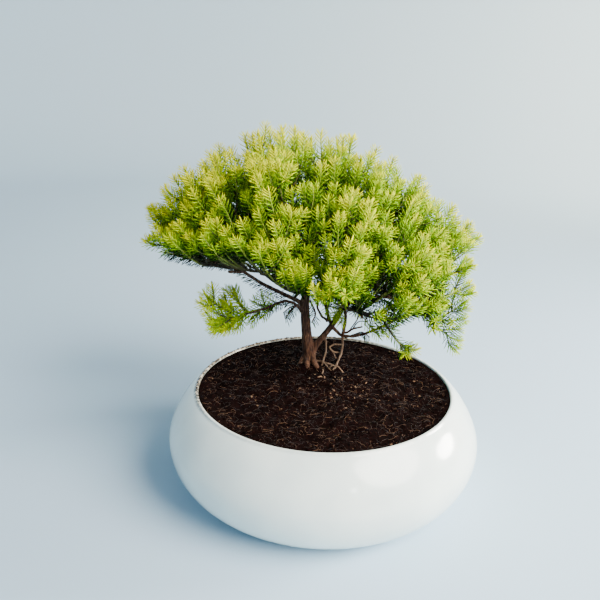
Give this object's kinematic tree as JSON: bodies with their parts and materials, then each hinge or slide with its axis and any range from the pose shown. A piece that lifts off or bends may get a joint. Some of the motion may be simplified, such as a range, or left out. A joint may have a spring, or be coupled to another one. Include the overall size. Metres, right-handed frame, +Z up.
{
  "type": "needle-leaved bonsai tree in a bowl",
  "caption": "Small needle-leaved conifer trained as a bonsai: a slim forked trunk under a broad domed crown of feathery shoots, planted in dark soil in a low round glazed bowl.",
  "frame": {"origin": "the middle of the flat foot that the bowl stands on, on the axis of the round bowl", "axes": "+Z up along the bowl's axis; -Y towards the viewer of the picture, whose right is +X; the trunk stands behind the middle, towards +Y"},
  "size_m": [0.2882, 0.2883, 0.2975],
  "materials": {
    "glazed_bowl": "gloss",
    "potting_soil": "matte",
    "bark": "matte",
    "needles": "satin"
  },
  "bodies": {
    "root": {"bowl": "glazed_bowl", "soil": "potting_soil", "tree": "bark", "spray_01": "needles", "spray_02": "needles", "spray_03": "needles", "spray_04": "needles", "spray_05": "needles", "spray_06": "needles", "spray_07": "needles", "spray_08": "needles", "spray_09": "needles", "spray_10": "needles", "spray_11": "needles", "spray_12": "needles", "spray_13": "needles", "spray_14": "needles", "spray_15": "needles", "spray_16": "needles", "spray_17": "needles", "spray_18": "needles", "spray_19": "needles", "spray_20": "needles", "spray_21": "needles", "spray_22": "needles", "spray_23": "needles", "spray_24": "needles", "spray_25": "needles", "spray_26": "needles", "spray_27": "needles", "spray_28": "needles", "spray_29": "needles", "spray_30": "needles", "spray_31": "needles", "spray_32": "needles"}
  },
  "joints": []
}
